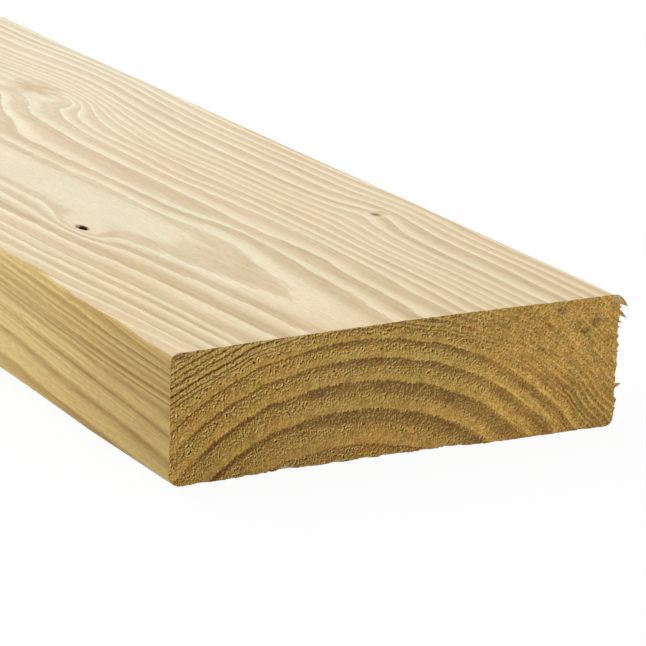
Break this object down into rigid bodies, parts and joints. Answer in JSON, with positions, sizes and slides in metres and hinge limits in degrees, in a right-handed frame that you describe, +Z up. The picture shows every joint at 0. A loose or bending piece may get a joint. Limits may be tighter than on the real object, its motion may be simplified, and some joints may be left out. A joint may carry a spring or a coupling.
{
  "type": "timber stud",
  "caption": "Straight length of planed softwood with a rectangular section, eased long edges and square sawn ends, for framing walls.",
  "frame": {"origin": "centre of the underside, the broad face that the stud lies on", "axes": "+Y along the grain, away from the sawn end that the picture shows; +X across the width; +Z up through the thickness"},
  "size_m": [0.14, 2.4, 0.038],
  "materials": {
    "timber": "planed softwood, preservative treated, with rough sawn ends"
  },
  "bodies": {
    "root": {"stud": "timber"}
  },
  "joints": []
}
